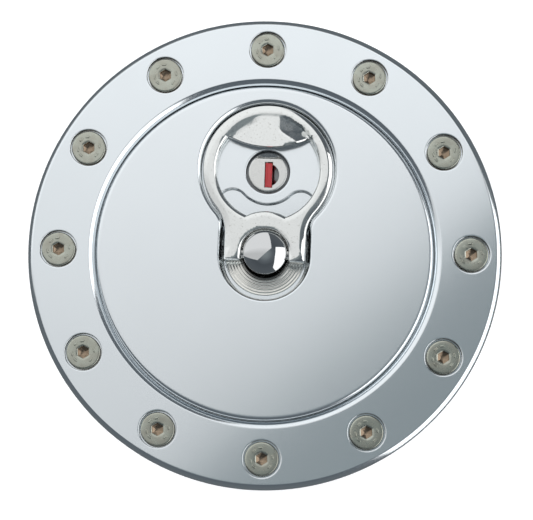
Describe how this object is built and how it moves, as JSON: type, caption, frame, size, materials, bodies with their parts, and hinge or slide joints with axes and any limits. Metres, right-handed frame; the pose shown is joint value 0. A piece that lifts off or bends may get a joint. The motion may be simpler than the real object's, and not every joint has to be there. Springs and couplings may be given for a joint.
{
  "type": "deck fill cap",
  "caption": "Flush locking round deck fill cap: aluminium flange and lid, fold-flat stainless lift lever, domed spindle, key lock and rubber seals.",
  "frame": {"origin": "centre of the mounting plane, at the gasket's underside", "axes": "+Z out of the deck along the cap's axis, +Y from the spindle towards the lever's free end"},
  "size_m": [0.132, 0.132, 0.0475],
  "materials": {
    "flange_alloy": "fine satin, clear anodised",
    "lid_alloy": "fine satin, clear anodised",
    "neck_alloy": "turned",
    "plate_alloy": "turned",
    "screw_steel": "bright stainless",
    "lever_steel": "polished cast stainless",
    "dome_chrome": "mirror polished",
    "washer_steel": "turned",
    "lock_chrome": "polished",
    "plug_chrome": "satin plated",
    "inner_steel": "plain stainless",
    "brass": "plain",
    "bush_plastic": "nylon",
    "red_plastic": "moulded",
    "gasket_rubber": "matt",
    "seal_rubber": "matt"
  },
  "bodies": {
    "flange": {"flange_ring": "flange_alloy", "flange_gasket": "gasket_rubber", "mounting_screws": "screw_steel", "filler_neck": "neck_alloy"},
    "lid": {"lid_body": "lid_alloy", "lid_o_ring": "seal_rubber", "cam_washer": "washer_steel", "spindle_bush": "bush_plastic", "spindle_o_ring": "seal_rubber", "seal_retainer": "inner_steel", "seal_ring": "seal_rubber", "lock_barrel": "lock_chrome", "barrel_seal": "gasket_rubber", "lock_nut": "brass"},
    "spindle": {"spindle": "dome_chrome", "cross_pin": "inner_steel", "pressure_plate": "plate_alloy", "spindle_washer": "inner_steel", "spindle_nut": "inner_steel"},
    "lever": {"lever": "lever_steel", "striker": "inner_steel", "striker_rivets": "inner_steel"},
    "lock_plug": {"lock_plug": "plug_chrome", "wafers": "brass", "shutter_pin": "inner_steel", "lock_cam": "inner_steel", "cam_screw_washer": "inner_steel", "cam_screw": "inner_steel"},
    "dust_shutter": {"dust_shutter": "red_plastic"}
  },
  "joints": [
    {"name": "lid_lift", "type": "slide", "parent": "flange", "child": "lid", "axis": [0, 0, 1], "range_m": [0, 0.06]},
    {"name": "spindle_drop", "type": "slide", "parent": "lid", "child": "spindle", "axis": [0, 0, -1], "range_m": [0, 0.0015], "deforming": ["seal_ring"]},
    {"name": "lever_lift", "type": "hinge", "parent": "spindle", "child": "lever", "pos_m": [0, 0, 0.0023], "axis": [1, 0, 0], "range_deg": [0, 90]},
    {"name": "key_turn", "type": "hinge", "parent": "lid", "child": "lock_plug", "pos_m": [0, 0.0233, 0], "axis": [0, 0, 1], "range_deg": [0, 90]},
    {"name": "shutter_tilt", "type": "hinge", "parent": "lock_plug", "child": "dust_shutter", "pos_m": [-0.00045, 0.0226, 0.00075], "axis": [0, 1, 0], "range_deg": [0, 80], "stiffness_Nm_per_rad": 0.00002, "springref_deg": -17.19}
  ],
  "couplings": [
    {"joint": "spindle_drop", "follows": "lever_lift", "m_per_rad": 0.00095493}
  ]
}
